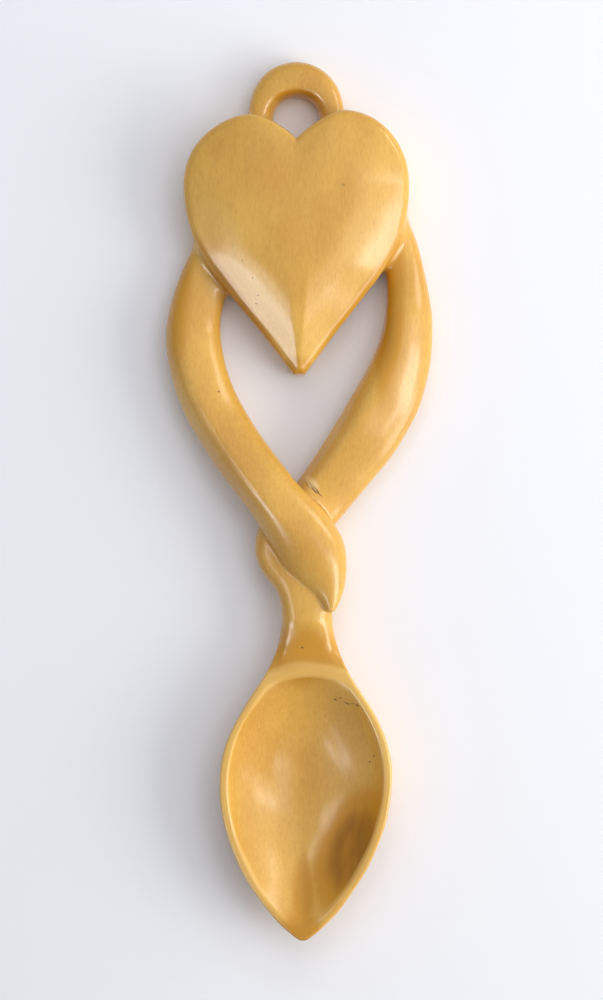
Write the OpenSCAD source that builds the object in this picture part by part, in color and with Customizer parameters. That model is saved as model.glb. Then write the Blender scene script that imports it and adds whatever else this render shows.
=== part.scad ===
// Carved wooden love spoon: a hanging loop, a domed heart, two crossed stems, a neck and a leaf-shaped bowl.
// It lies on its back with the loop towards +Y. Z is 0 at the planed back and grows towards the front.

/* [Loop] */
// Radius of the hanging eye
eye_r = 5.4; // [4:0.1:6.5]
// Height of the eye's centre above the heart's cleft
eye_rise = 5.1; // [3:0.1:6]
// Width of the wood above the eye, at the crown
crown_w = 8; // [5:0.1:10]
// Width of the wood beside the eye
leg_w = 5.5; // [4.5:0.1:7]
// Thickness of the loop, front to back
loop_t = 7.2; // [5:0.1:8.2]

/* [Heart] */
// Width across both lobes
heart_w = 51; // [46:0.2:56]
// Depth of the cleft below the tops of the lobes
cleft_depth = 6.3; // [4:0.1:8]
// Distance between the tops of the two lobes
lobe_span = 21.2; // [18:0.2:25]
// Length from the tops of the lobes down to the heart's widest place
lobe_h = 16.2; // [14:0.2:20]
// Length from the heart's widest place down to its tip
heart_drop = 43; // [38:0.2:50]
// Width of the blunt tip
heart_tip_w = 2.6; // [1:0.1:5]
// Height of the heart's side wall, from the back to the front edge
heart_edge = 9; // [8.5:0.1:11]
// Size of the rounding along the front edge
front_round = 0.8; // [0.4:0.1:2]
// Rise of the dome above that rounding
heart_dome = 5; // [3:0.1:7]
// Width of the bevelled flanks, from the lower half's edge to where the top turns flat
flank_w = 12; // [8:0.5:16]
// Width of the gentler rounding along the tops of the lobes
lobe_round = 6; // [4:0.5:10]
// Size of the rounding along the heart's back edge
back_round = 1.6; // [0.5:0.1:3]
// Distance of the heart and the loop to the left of the spoon's centre line
heart_shift = 0.6; // [0:0.1:2]
// Height of the right lobe above the left one
lobe_lead = 0.8; // [0:0.1:1.6]

/* [Stems] */
// Width across the outsides of the two stems
stem_spread = 60.6; // [57:0.2:66]
// Width of the left stem
stem_w = 12.4; // [10:0.1:13.5]
// Width of the right stem where it leaves the heart
right_root_w = 8.4; // [8:0.1:12]
// Width of the right stem at its widest, on the way down to the twist
under_w = 15; // [12:0.1:16]
// Width of the left stem's leaf-shaped end, in front of the twist
over_w = 14; // [12.5:0.1:16]
// Thickness of the stems, front to back
stem_t = 10.4; // [9:0.1:11.5]
// Thickness of each stem where they cross
cross_t = 9; // [7.5:0.1:10]
// Drop from the heart's front edge back to the front of the stems
root_step = 1.6; // [0.5:0.1:3]
// Height of the stems' backs above the back of the heart
stem_lift = 0.4; // [0:0.1:1]
// Depth that the left stem is let into the right one where they cross
lap_depth = 4.2; // [3:0.1:5]
// Length from the heart's tip down to the crotch between the stems
crotch_drop = 23.6; // [18:0.2:30]
// Length of the twist, from the crotch down to the waist of the neck
twist_l = 31.8; // [28:0.2:38]

/* [Neck] */
// Width of the waist
neck_w = 11.5; // [9:0.1:14]
// Thickness of the waist, front to back
neck_t = 9.6; // [8:0.1:11]
// Height of the waist's underside above the back
neck_lift = 2.4; // [1:0.1:4]
// Depth of the dip between the waist and the hollow's rim
neck_dip = 0.9; // [0.3:0.1:1.6]
// Distance of the waist and the bowl to the right of the spoon's centre line
neck_shift = 1.9; // [0:0.1:3]
// Length from the waist down to the edge of the hollow
neck_l = 13; // [10:0.1:18]

/* [Bowl] */
// Width of the bowl
bowl_w = 39; // [32:0.2:44]
// Distance that the bowl's tip leans back from the waist towards the spoon's centre line
bowl_lean = 1; // [0:0.1:2]
// Length from the edge of the hollow down to the bowl's tip
bowl_l = 60; // [54:0.2:70]
// Distance from the edge of the hollow down to the widest place
belly_drop = 24; // [20:0.2:30]
// Height of the rim above the back
rim_z = 11; // [9:0.1:13]
// Width of the rim
rim_w = 1.8; // [1:0.1:2.6]
// Thickness of wood under the deepest place of the hollow
bowl_wall = 2.4; // [1.8:0.1:4]
// Length of wood between the hollow and the bowl's tip
tip_wall = 3; // [2:0.1:5]
// Thickness of the bowl's tip
tip_t = 3; // [2:0.1:4.5]
// Width of the bowl's blunt tip
tip_w = 1.4; // [0.8:0.1:3]
// Depth that is planed off the underside, so that the bowl rests on a small flat
bowl_flat = 0.4; // [0.1:0.05:1]
// Drop of the hollow's arched upper edge, from its middle to a quarter of the bowl's width
arch_drop = 1.8; // [0.5:0.1:3]

/* [Hidden] */

wood = "#dca650";
wood_light = "#e3b264";
wood_dark = "#cf9640";

// Points round a section, sections along each piece, and points round the heart's outline
section_n = 28;
loop_steps = 20;
curve_steps = 10;
neck_steps = 8;
bowl_steps = 36;
outline_n = 72;
// Points of a bowl section that lie on the rim, on each side
rim_n = 2;
// Shares of the way out from the heart's spine where its dome has a ring
dome_shares = [0.05, 0.2, 0.35, 0.48, 0.6, 0.7, 0.79, 0.87, 0.93, 0.975, 1];
// Height that a cutting shape stands above the edge that it cuts along
past = 3;

// Places down the centre line, from the loop's crown at half the length to the bowl's tip at minus half
heart_l = lobe_h + heart_drop;
length = crown_w + eye_r + eye_rise - cleft_depth + heart_l + crotch_drop + twist_l + neck_l + bowl_l;
eye_y = length / 2 - crown_w - eye_r;
cleft_y = eye_y - eye_rise;
widest_y = cleft_y + cleft_depth - lobe_h;
heart_tip_y = widest_y - heart_drop;
crotch_y = heart_tip_y - crotch_drop;
waist_y = crotch_y - twist_l;
hollow_y = waist_y - neck_l;
belly_y = hollow_y - belly_drop;
tip_y = hollow_y - bowl_l;
hollow_tip_y = tip_y + tip_wall;

// Helpers for numbers and curves
down = [0, -1];
function lerp(a, b, t) = a + (b - a) * t;
function clamp01(t) = min(1, max(0, t));
function smooth(t) = let(c = clamp01(t)) c * c * (3 - 2 * c);
function unit(v) = v / norm(v);
function bezier(p, t) =
    let(s = 1 - t) s * s * s * p[0] + 3 * s * s * t * p[1] + 3 * s * t * t * p[2] + t * t * t * p[3];

// Smooth value at t in a list whose members lie at 0, 1, 2 and so on
function curve(list, t) =
    let(n = len(list) - 1, i = max(0, min(n - 1, floor(t))), u = t - i,
        b = list[i], c = list[i + 1],
        a = i > 0 ? list[i - 1] : 2 * b - c,
        d = i + 2 <= n ? list[i + 2] : 2 * c - b)
    (2 * b + (c - a) * u + (2 * a - 5 * b + 4 * c - d) * u * u + (3 * b - a - 3 * c + d) * u * u * u) / 2;

// Curves through a chain of places, each [point, direction there]. Pulls are shares of a span.
function chain(places, pulls) =
    [for (i = [0:len(pulls) - 1])
        let(a = places[i], b = places[i + 1], span = norm(b[0] - a[0]))
        [a[0], a[0] + a[1] * span * pulls[i][0], b[0] - b[1] * span * pulls[i][1], b[0]]];
function chain_at(path, t) = let(i = min(len(path) - 1, floor(t))) bezier(path[i], t - i);
function chain_run(path, t) =
    let(step = 0.002, a = max(0, t - step), b = min(len(path), t + step))
    chain_at(path, b) - chain_at(path, a);

// Triangles that close a flat ring: from its first point to all others, or across to mirrored points
function fan(n) = [for (i = [1:n - 2]) [0, i, i + 1]];
function ladder(n) = concat(
    [for (i = [0:n / 2 - 2]) [i, i + 1, n - 1 - i]],
    [for (i = [1:n / 2 - 1]) [i, n - 1 - i, n - i]]);

// A solid skin over rings that all have the same even number of points. A dented outline, or a last ring
// round a spine, says how the flat ends are closed.
module loft(rings, dented = false, spined = false) {
    n = len(rings[0]);
    last = len(rings) - 1;
    sides = [for (j = [0:last - 1], i = [0:n - 1])
        let(k = (i + 1) % n, a = j * n + i, b = j * n + k, c = a + n, d = b + n)
        each [[a, d, b], [a, c, d]]];
    start = dented ? fan(n) : ladder(n);
    end = dented && !spined ? fan(n) : ladder(n);
    lid = [for (f = end) [last * n + f[2], last * n + f[1], last * n + f[0]]];
    polyhedron(points = [for (r = rings) each r], faces = concat(sides, start, lid));
}

// Section of a strand: its width, thickness, height of the back, and lean of the crest to one side.
// A fullness of 1 is an ellipse, and less is squarer. The bevel stands in for it in the upper left quarter,
// where a value above 1 leaves a ridge at the crest.
fullness = 0.7;
function rounded(v, n) = sign(v) * pow(abs(v), n);
function section(w, t, back, lean, bevel) =
    [for (i = [0:section_n - 1])
        let(a = 360 * i / section_n,
            n = cos(a) < 0 && sin(a) > 0 ? bevel : fullness,
            c = rounded(cos(a), n),
            s = rounded(sin(a), n))
        [w / 2 * (c + lean * (1 - c * c) * clamp01(s)), back + t / 2 * (1 + s)]];

// Section set up at a place, square to the direction in which the wood runs there
function placed(pts, p, along) =
    let(across = unit([-along.y, along.x]))
    [for (q = pts) [p.x + q.x * across.x, p.y + q.x * across.y, q.y]];

// Hanging loop: an arch over the eye, widest at the crown and bevelled towards the eye, with legs that run
// down to the heart
leg_l = 3;
crown_shape = 1.7;
eye_lean = -0.35;
eye_bevel = 1.2;
function loop_ring(a) =
    let(w = lerp(leg_w, crown_w, pow(sin(a), crown_shape)), r = eye_r + w / 2)
    placed(section(w, loop_t, 0, eye_lean * sin(a), eye_bevel),
        [r * cos(a) - heart_shift, eye_y + r * sin(a)], [sin(a), -cos(a)]);
function dropped(ring) = [for (p = ring) p - [0, leg_l, 0]];

module loop_body() {
    rings = [for (j = [0:loop_steps]) loop_ring(180 - 180 * j / loop_steps)];
    loft(concat([dropped(rings[0])], rings, [dropped(rings[loop_steps])]));
}

// Heart outline: one side as a chain from the cleft over the lobe and the widest place to the tip
lobe_top = [lobe_span / 2, cleft_y + cleft_depth];
heart_tip = [heart_tip_w / 2, heart_tip_y];
heart_side = chain(
    [[[0, cleft_y], unit([5, 7])],
     [lobe_top, [1, 0]],
     [[heart_w / 2, widest_y], down],
     [heart_tip, unit([-5, -7])]],
    [[0.2, 0.25], [0.3, 0.46], [0.34, 0.56]]);
function heart_t(i) = min(len(heart_side), len(heart_side) * min(i, outline_n - i) / (outline_n / 2 - 1));
function heart_point(i) =
    let(p = chain_at(heart_side, heart_t(i)))
    i == outline_n / 2 ? [0, heart_tip_y] : i < outline_n / 2 ? [-p.x, p.y] : p;

// The dome falls away on both sides of a narrow spine that runs down the heart. Its flanks rise evenly from
// the edge and bend into the flat top. The lists hold the width of the fall, the share of the dome that it
// takes and how softly it bends, at the cleft, the top of a lobe, the widest place and the tip.
spine_bottom = heart_tip_y + 1.5;
spine_w = 0.1;
cleft_round = 5;
fall_w = [cleft_round, lobe_round, flank_w, flank_w];
fall_share = [0.1, 0.35, 0.8, 1];
bend = [0.9, 0.9, 0.55, 0.3];
function spine(p) =
    let(t = (p.y - heart_tip_y) / (widest_y - heart_tip_y))
    [p.x * spine_w, min(widest_y, lerp(spine_bottom, widest_y, t))];
function dome_rise(u, k) = u < 1 - k ? u : u > 1 + k ? 1 : u - pow(u - 1 + k, 2) / (4 * k);
function dome_z(in, t) =
    let(u = in / curve(fall_w, t))
    heart_edge + front_round * (1 - pow(1 - clamp01(in / (2 * front_round)), 2))
        + heart_dome * lerp(1, dome_rise(u, curve(bend, t)), curve(fall_share, t));
function leaned(q, z) =
    [q.x - heart_shift * clamp01((q.y - heart_tip_y) / heart_drop),
        q.y + lobe_lead * q.x / lobe_span * clamp01((q.y - widest_y) / lobe_h), z];
function wall_ring(s, z) =
    [for (i = [0:outline_n - 1]) let(p = heart_point(i)) leaned(lerp(spine(p), p, s), z)];
function dome_ring(s) =
    [for (i = [0:outline_n - 1])
        let(p = heart_point(i), m = spine(p))
        leaned(lerp(m, p, s), dome_z((1 - s) * norm(p - m), heart_t(i)))];

// The rounding of the back edge is three rings: its foot, one low on its curve, and its top
back_share = 1 - 2 * back_round / heart_w;
curve_low = 0.3;
heart_back = [
    wall_ring(back_share, 0),
    wall_ring(lerp(1, back_share, curve_low), curve_low * back_round),
    wall_ring(1, back_round)];
module heart_body() {
    last = len(dome_shares) - 1;
    dome = [for (k = [0:last]) dome_ring(dome_shares[last - k])];
    loft(concat(heart_back, dome), dented = true, spined = true);
}

// The heart's wall, carried on past its front edge, to cut the pieces that meet it
module heart_wall() {
    loft(concat(heart_back, [wall_ring(1, heart_edge), wall_ring(1, heart_edge + past)]), dented = true);
}

// Widths and heights along the stems
left_root_w = 0.91 * stem_w;
leaf_tip_w = 2.2;
leaf_tip_t = 4;
leaf_proud = 0.8;
leaf_sink = 0.8;
right_bulge_w = lerp(right_root_w, under_w, 0.35);
lap_w = 0.85 * under_w;
shoulder_w = 0.95 * under_w;

// Places on the stems: where each starts inside the heart, bulges out furthest, passes the crotch and ends
waist = [neck_shift, waist_y];
left_root = [-0.32 * heart_w, widest_y - 11];
left_bulge = [(stem_w - stem_spread) / 2, heart_tip_y + 9.6];
left_pass = [-stem_w / 2, crotch_y - 3.9];
leaf_end = waist + [0.45 * neck_w, 1.6];
right_root = [0.385 * heart_w, widest_y - 7.5];
right_bulge = [(stem_spread - right_bulge_w) / 2, heart_tip_y + 13.6];
right_pass = [4.4, crotch_y - 5.2];
right_under = [-2.9, lerp(waist_y, crotch_y, 0.5)];

// The left stem ends in a leaf in front of the twist. The right one ducks under it and ends in the neck.
left_path = chain(
    [[left_root, unit([-4, -7])],
     [left_bulge, down],
     [left_pass, unit([3, -4])],
     [leaf_end, unit([-1, -6])]],
    [[0.33, 0.3], [0.36, 0.32], [0.37, 0.32]]);
right_path = chain(
    [[right_root, unit([5, -7])],
     [right_bulge, down],
     [right_pass, unit([-3, -4])],
     [right_under, down],
     [waist, down]],
    [[0.35, 0.3], [0.35, 0.37], [0.43, 0.4], [0.26, 0.6]]);

// Width, thickness, height of the back, lean of the crest and bevel, at every half curve from root to end
root_t = heart_edge - root_step - stem_lift;
lap_z = stem_lift + cross_t - lap_depth;
left_w = [left_root_w, left_root_w, stem_w, stem_w, stem_w, over_w, leaf_tip_w];
left_t = [root_t, root_t, stem_t - 1, stem_t, cross_t + 0.6, cross_t + 0.6, leaf_tip_t];
left_back = [stem_lift, stem_lift, stem_lift, 1.5, lap_z, lap_z - leaf_sink,
    neck_lift + neck_t + leaf_proud - leaf_tip_t];
left_lean = [-0.2, -0.3, -0.4, -0.45, -0.45, 0.35, 0];
left_bevel = [0.9, 0.9, 0.9, 1.3, 1.4, 1.2, 1];
right_w = [right_root_w, right_root_w, right_bulge_w, under_w, lap_w, lap_w, shoulder_w,
    lerp(under_w, neck_w, 0.85), neck_w];
waist_lean = -0.35;
waist_bevel = 1.1;
right_t = [root_t, root_t, stem_t - 1, stem_t, cross_t, cross_t, cross_t, neck_t, neck_t];
right_back = [for (k = [0:8]) lerp(stem_lift, neck_lift, clamp01((k - 6) / 2))];
right_lean = [0.2, 0.3, 0.3, 0, -0.45, -0.5, -0.5, -0.5, waist_lean];
right_bevel = [0.8, 0.8, 0.8, 1.1, 1.4, 1.3, 1.3, 1.2, waist_bevel];

// The sections of a strand from its curve number first onwards
module strand(path, w, t, back, lean, bevel, first = 0) {
    loft([for (j = [first * curve_steps:len(path) * curve_steps])
        let(u = j / curve_steps,
            k = 2 * u,
            pts = section(curve(w, k), curve(t, k), curve(back, k), curve(lean, k), curve(bevel, k)))
        placed(pts, chain_at(path, u), chain_run(path, u))]);
}
module left_body(first = 0) {
    strand(left_path, left_w, left_t, left_back, left_lean, left_bevel, first);
}
module right_body() {
    strand(right_path, right_w, right_t, right_back, right_lean, right_bevel);
}

// Neck and bowl. Their edge is one curve from the waist to the belly, and another on to the tip.
bowl_edge = chain(
    [[[neck_w / 2, waist_y], down],
     [[bowl_w / 2, belly_y], down],
     [[tip_w / 2, tip_y], unit([-8, -5])]],
    [[0.37, 0.43], [0.4, 0.22]]);
function share_at(y, a = 0, b = 1, n = 16) =
    let(m = (a + b) / 2)
    n == 0 ? m : chain_at(bowl_edge, m).y > y ? share_at(y, m, b, n - 1) : share_at(y, a, m, n - 1);

// The neck ends where the rim begins. The underside sinks to the belly and rises again to the tip.
neck_end = share_at(hollow_y + rim_w);
hollow_depth = rim_z - bowl_wall;
fall = 2.2;
upper_fall = 2.8;

// The hollow's section is round at the belly and comes near to a V at the tip. The lower the side's value,
// the steeper the hollow starts at the rim, and a floor value near 1 leaves a crease along the middle.
round_side = 0.75;
vee_side = 0.95;
round_floor = 2;
vee_floor = 1.3;
vee_haste = 1.6;
function underside(y) =
    y > belly_y
        ? lerp(neck_lift, -bowl_flat, smooth((waist_y - y) / (waist_y - belly_y)))
        : lerp(-bowl_flat, rim_z - tip_t, pow((belly_y - y) / (belly_y - tip_y), fall));
function arched(x, y) = y + arch_drop * pow(4 * x / bowl_w, 2);
function depth(x, y) =
    hollow_depth * (1 - (y > belly_y
        ? pow(clamp01((arched(x, y) - belly_y) / belly_drop), upper_fall)
        : pow(clamp01((belly_y - y) / (belly_y - hollow_tip_y)), fall)));

// The front dips between the waist and the rim, deepest two thirds of the way down, and ends at the rim
function dip(x, y) =
    let(t = clamp01((waist_y - arched(x, y)) / (neck_l - rim_w)), deepest = 2 / 3)
    neck_dip * pow(t / deepest, 2) * (1 - t) / (1 - deepest);

function bowl_section(y, half) =
    let(inner = max(half / 2, half - rim_w),
        low = underside(y),
        v = clamp01((belly_y - y) / (belly_y - tip_y)),
        side_shape = lerp(round_side, vee_side, v),
        floor_shape = lerp(round_floor, vee_floor, smooth(vee_haste * v)),
        n = section_n / 2)
    [for (i = [0:section_n - 1])
        let(a = 360 * i / section_n,
            u = cos(180 * clamp01((i - rim_n) / (n - 2 * rim_n))),
            x = i < rim_n ? lerp(half, inner, i / rim_n)
                : i > n - rim_n ? -lerp(half, inner, (n - i) / rim_n) : inner * u)
        i <= n ? [x, rim_z - depth(x, y) * pow(1 - pow(abs(u), floor_shape), side_shape)]
            : [half * cos(a), rim_z - (rim_z - low) * pow(-sin(a), fullness)]];
function bowl_ring(t) =
    let(p = chain_at(bowl_edge, t),
        v = smooth((waist_y - p.y) / neck_l),
        low = underside(p.y),
        strand = section(2 * p.x, lerp(neck_t, rim_z - low, v), low, waist_lean, waist_bevel),
        x = neck_shift - bowl_lean * smooth((hollow_y - p.y) / bowl_l))
    [for (q = lerp(strand, bowl_section(p.y, p.x), v))
        [x + q.x, p.y, max(0, q.y * (1 - dip(q.x, p.y) / rim_z))]];

module hanging_loop() {
    color(wood) difference() {
        loop_body();
        heart_wall();
    }
}

module heart() {
    color(wood_light) heart_body();
}

module left_stem() {
    color(wood_light) difference() {
        left_body();
        heart_wall();
    }
}

module right_stem() {
    color(wood) difference() {
        right_body();
        heart_wall();
        left_body(first = 1.5);
    }
}

module neck() {
    color(wood_dark) difference() {
        loft([for (j = [0:neck_steps]) bowl_ring(neck_end * j / neck_steps)]);
        left_body(first = 2.5);
    }
}

module bowl() {
    color(wood_light) loft([for (j = [0:bowl_steps]) bowl_ring(lerp(neck_end, 2, j / bowl_steps))]);
}

hanging_loop();
heart();
left_stem();
right_stem();
neck();
bowl();
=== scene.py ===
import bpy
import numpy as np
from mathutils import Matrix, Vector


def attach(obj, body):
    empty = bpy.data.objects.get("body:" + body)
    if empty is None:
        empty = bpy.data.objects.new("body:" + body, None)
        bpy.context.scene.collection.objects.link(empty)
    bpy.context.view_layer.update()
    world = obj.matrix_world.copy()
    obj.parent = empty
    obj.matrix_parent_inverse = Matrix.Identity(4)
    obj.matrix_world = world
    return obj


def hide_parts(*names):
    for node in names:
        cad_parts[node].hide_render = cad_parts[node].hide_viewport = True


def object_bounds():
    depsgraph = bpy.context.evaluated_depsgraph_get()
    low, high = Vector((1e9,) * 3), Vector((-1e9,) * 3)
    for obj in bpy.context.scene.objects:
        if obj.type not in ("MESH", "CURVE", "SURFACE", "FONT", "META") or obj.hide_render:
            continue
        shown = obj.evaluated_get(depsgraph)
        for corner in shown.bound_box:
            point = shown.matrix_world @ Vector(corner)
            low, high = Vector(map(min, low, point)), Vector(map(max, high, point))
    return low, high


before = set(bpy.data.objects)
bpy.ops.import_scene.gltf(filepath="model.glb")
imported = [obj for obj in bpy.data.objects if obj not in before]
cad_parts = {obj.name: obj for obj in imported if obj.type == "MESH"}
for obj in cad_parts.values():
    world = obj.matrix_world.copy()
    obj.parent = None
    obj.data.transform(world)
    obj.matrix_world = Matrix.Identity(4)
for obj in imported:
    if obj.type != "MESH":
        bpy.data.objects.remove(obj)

# Dresses the carved love spoon: pale close-grained wood, cut with a knife, sanded, and varnished golden.
# Lengths are millimetres until a mesh, a light or the camera is made, and metres there.
# The forms repeat the CAD's formulas at a finer step, with the stems' sections, the leaf and the heart's
# flanks rounded further. They are joined in a field of distances, where the creases between them get a
# carver's small fillet, and each carved element is cut out of it as one skin.

import openvdb
from mathutils import Vector

CAD_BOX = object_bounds()
MM = 0.001

# Loop
eye_r = 5.4
eye_rise = 5.1
crown_w = 8.0
leg_w = 5.5
loop_t = 7.2
leg_l = 3.0

# Heart
heart_w = 51.0
cleft_depth = 6.3
lobe_span = 21.2
lobe_h = 16.2
heart_drop = 43.0
heart_tip_w = 2.6
heart_edge = 9.0
front_round = 0.8
heart_dome = 5.0
flank_w = 12.0
lobe_round = 6.0
cleft_round = 5.0
back_round = 1.6
heart_shift = 0.6
lobe_lead = 0.8

# Stems
stem_spread = 60.6
stem_w = 12.4
right_root_w = 8.4
under_w = 15.0
over_w = 14.0
stem_t = 10.4
cross_t = 9.0
root_step = 1.6
stem_lift = 0.4
lap_depth = 4.2
crotch_drop = 23.6
twist_l = 31.8

# Neck
neck_w = 11.5
neck_t = 9.6
neck_lift = 2.4
neck_dip = 0.9
neck_shift = 1.9
neck_l = 13.0

# Bowl
bowl_w = 39.0
bowl_lean = 1.0
bowl_l = 60.0
belly_drop = 24.0
rim_z = 11.0
rim_w = 1.8
bowl_wall = 2.4
tip_wall = 3.0
tip_t = 3.0
tip_w = 1.4
bowl_flat = 0.4
arch_drop = 1.8

# Places down the centre line, worked out as in the CAD
length = (crown_w + eye_r + eye_rise - cleft_depth + lobe_h + heart_drop + crotch_drop + twist_l
          + neck_l + bowl_l)
eye_y = length / 2 - crown_w - eye_r
cleft_y = eye_y - eye_rise
widest_y = cleft_y + cleft_depth - lobe_h
heart_tip_y = widest_y - heart_drop
crotch_y = heart_tip_y - crotch_drop
waist_y = crotch_y - twist_l
hollow_y = waist_y - neck_l
belly_y = hollow_y - belly_drop
tip_y = hollow_y - bowl_l
hollow_tip_y = tip_y + tip_wall
neck_end_y = hollow_y + rim_w

DOWN = np.array([0.0, -1.0])


# Numbers and curves

def lerp(a, b, t):
    return a + (b - a) * t


def clamp01(t):
    return np.clip(t, 0.0, 1.0)


def smooth(t):
    c = clamp01(t)
    return c * c * (3 - 2 * c)


def unit(*v):
    return np.array(v, float) / np.linalg.norm(v)


def through(values, t):
    """Smooth value at t in a list whose members lie at 0, 1, 2 and so on."""
    v = np.asarray(values, float)
    padded = np.concatenate([[2 * v[0] - v[1]], v, [2 * v[-1] - v[-2]]])
    i = np.clip(np.floor(t).astype(int), 0, len(v) - 2)
    u = t - i
    a, b, c, d = (padded[i + k] for k in range(4))
    return (2 * b + (c - a) * u + (2 * a - 5 * b + 4 * c - d) * u**2 + (3 * b - a - 3 * c + d) * u**3) / 2


def chain(places, pulls):
    """Curves through a chain of places, each (point, direction there). Pulls are shares of a span."""
    curves = []
    for (a, a_way), (b, b_way), (leave, arrive) in zip(places, places[1:], pulls):
        span = np.linalg.norm(np.subtract(b, a))
        curves.append([np.array(a), a + a_way * span * leave, b - b_way * span * arrive, np.array(b)])
    return np.array(curves)


def chain_at(curves, t):
    i = np.clip(np.floor(t).astype(int), 0, len(curves) - 1)
    u = (t - i)[:, None]
    s = 1 - u
    p = curves[i]
    return s**3 * p[:, 0] + 3 * s**2 * u * p[:, 1] + 3 * s * u**2 * p[:, 2] + u**3 * p[:, 3]


# Stems and loop: strands that a node tree sweeps along a path

waist = np.array([neck_shift, waist_y])
left_root_w = 0.91 * stem_w
leaf_tip_w = 2.2
leaf_tip_t = 4.0
leaf_proud = 0.8
leaf_sink = 0.8
crossing_swell = 0.6
right_bulge_w = lerp(right_root_w, under_w, 0.35)
lap_w = 0.85 * under_w
shoulder_w = 0.95 * under_w
left_root = (-0.32 * heart_w, widest_y - 11)
left_swing = ((stem_w - stem_spread) / 2, heart_tip_y + 9.6)
left_crossing = (-stem_w / 2, crotch_y - 3.9)
leaf_end = waist + (0.45 * neck_w, 1.6)
right_root = (0.385 * heart_w, widest_y - 7.5)
right_swing = ((stem_spread - right_bulge_w) / 2, heart_tip_y + 13.6)
right_crossing = (4.4, crotch_y - 5.2)
shoulder = (-2.9, lerp(waist_y, crotch_y, 0.5))
left_path = chain(
    [(left_root, unit(-4, -7)), (left_swing, DOWN), (left_crossing, unit(3, -4)), (leaf_end, unit(-1, -6))],
    [(0.33, 0.3), (0.36, 0.32), (0.37, 0.32)])
right_path = chain(
    [(right_root, unit(5, -7)), (right_swing, DOWN), (right_crossing, unit(-3, -4)), (shoulder, DOWN),
     (waist, DOWN)],
    [(0.35, 0.3), (0.35, 0.37), (0.43, 0.4), (0.26, 0.6)])

# Width, thickness, height of the back, lean of the crest, bevel and fullness, at every half curve from root
# to end. A fullness of 1 is an ellipse, and a smaller one is squarer. The bevel stands in for it in the upper
# left quarter, where a number over 1 flattens the side and leaves a ridge at the crest. A lean below 0 moves
# the crest to the left.
FULLNESS = 0.7
WAIST_LEAN = -0.1
WAIST_BEVEL = 0.7
EYE_LEAN = -0.35
EYE_BEVEL = 1.2
CROWN_SHAPE = 1.7
root_t = heart_edge - root_step - stem_lift
upper_t = stem_t - 1
over_t = cross_t + crossing_swell
climb_z = 1.5
lap_z = stem_lift + cross_t - lap_depth
left_sizes = dict(
    width=[left_root_w, left_root_w, stem_w, stem_w, stem_w, over_w, leaf_tip_w],
    thickness=[root_t, root_t, upper_t, stem_t, over_t, over_t, leaf_tip_t],
    back=[stem_lift, stem_lift, stem_lift, climb_z, lap_z, lap_z - leaf_sink,
          neck_lift + neck_t + leaf_proud - leaf_tip_t],
    lean=[-0.2, -0.25, -0.3, -0.3, -0.3, 0, 0],
    bevel=[0.9, 0.9, 1, 1.35, 1.35, 1.1, 1],
    fullness=[0.85, 0.95, 1.05, 1.15, 1.1, 0.95, 0.9])
right_sizes = dict(
    width=[right_root_w, right_root_w, right_bulge_w, under_w, lap_w, lap_w, shoulder_w,
           lerp(under_w, neck_w, 0.85), neck_w],
    thickness=[root_t, root_t, upper_t, stem_t, cross_t, cross_t, cross_t, neck_t, neck_t],
    back=[lerp(stem_lift, neck_lift, clamp01((k - 6) / 2)) for k in range(9)],
    lean=[0, -0.2, -0.3, -0.4, -0.45, -0.3, 0, -0.1, WAIST_LEAN],
    bevel=[0.8, 0.8, 0.9, 1.25, 1.3, 0.9, 0.55, 0.6, WAIST_BEVEL],
    fullness=[0.85, 0.95, 1.05, 1.1, 1, 0.8, FULLNESS, FULLNESS, FULLNESS])

# Points in each curve of a path
PATH_STEPS = 60
# How much wider the leaf gets, and the stretch of the path where it does
LEAF_BELLY = 1.3
LEAF_STRETCH = (2.3, 3.0)
# How far the right stem reaches into the neck
TONGUE = 0.9
# Rings down a strand, and points round each
RINGS = 300
POINTS_ROUND = 96


def stem_line(path, sizes):
    """Points down a stem, with its sizes at each."""
    t = np.linspace(0, len(path), PATH_STEPS * len(path) + 1)
    return chain_at(path, t), {name: through(values, 2 * t) for name, values in sizes.items()}


def leaf_line():
    """The left stem's line. The leaf at its end bellies out on the lower left side only."""
    line, sizes = stem_line(left_path, left_sizes)
    start, end = LEAF_STRETCH
    along = clamp01((np.linspace(0, len(left_path), len(line)) - start) / (end - start))
    belly = LEAF_BELLY * np.sin(np.pi * along)**2
    run = np.gradient(line, axis=0)
    across = np.stack([-run[:, 1], run[:, 0]], 1) / np.linalg.norm(run, axis=1, keepdims=True)
    sizes["width"] = sizes["width"] + belly
    return line - across * (belly / 2)[:, None], sizes


def loop_line():
    """Points round the loop's arch and down its legs, with its sizes at each."""
    a = np.linspace(np.pi, 0, 3 * PATH_STEPS)
    high = np.maximum(0, np.sin(a))
    w = lerp(leg_w, crown_w, high**CROWN_SHAPE)
    r = eye_r + w / 2
    arch = np.stack([r * np.cos(a) - heart_shift, eye_y + r * np.sin(a)], 1)
    line = np.concatenate([arch[:1] - (0, leg_l), arch, arch[-1:] - (0, leg_l)])
    w = np.concatenate([w[:1], w, w[-1:]])
    high = np.concatenate([[0], high, [0]])
    flat = np.zeros_like(w)
    return line, dict(width=w, thickness=flat + loop_t, back=flat, lean=EYE_LEAN * high,
                      bevel=flat + EYE_BEVEL, fullness=flat + FULLNESS)


def add(tree, kind, feeds=None, **settings):
    """Adds a node with its settings. Each feed is a number or another node's socket."""
    node = tree.nodes.new(kind)
    for name, value in settings.items():
        setattr(node, name, value)
    for key, value in (feeds or {}).items():
        socket = node.inputs[key]
        if isinstance(value, bpy.types.NodeSocket):
            tree.links.new(value, socket)
        else:
            socket.default_value = value
    return node


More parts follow.
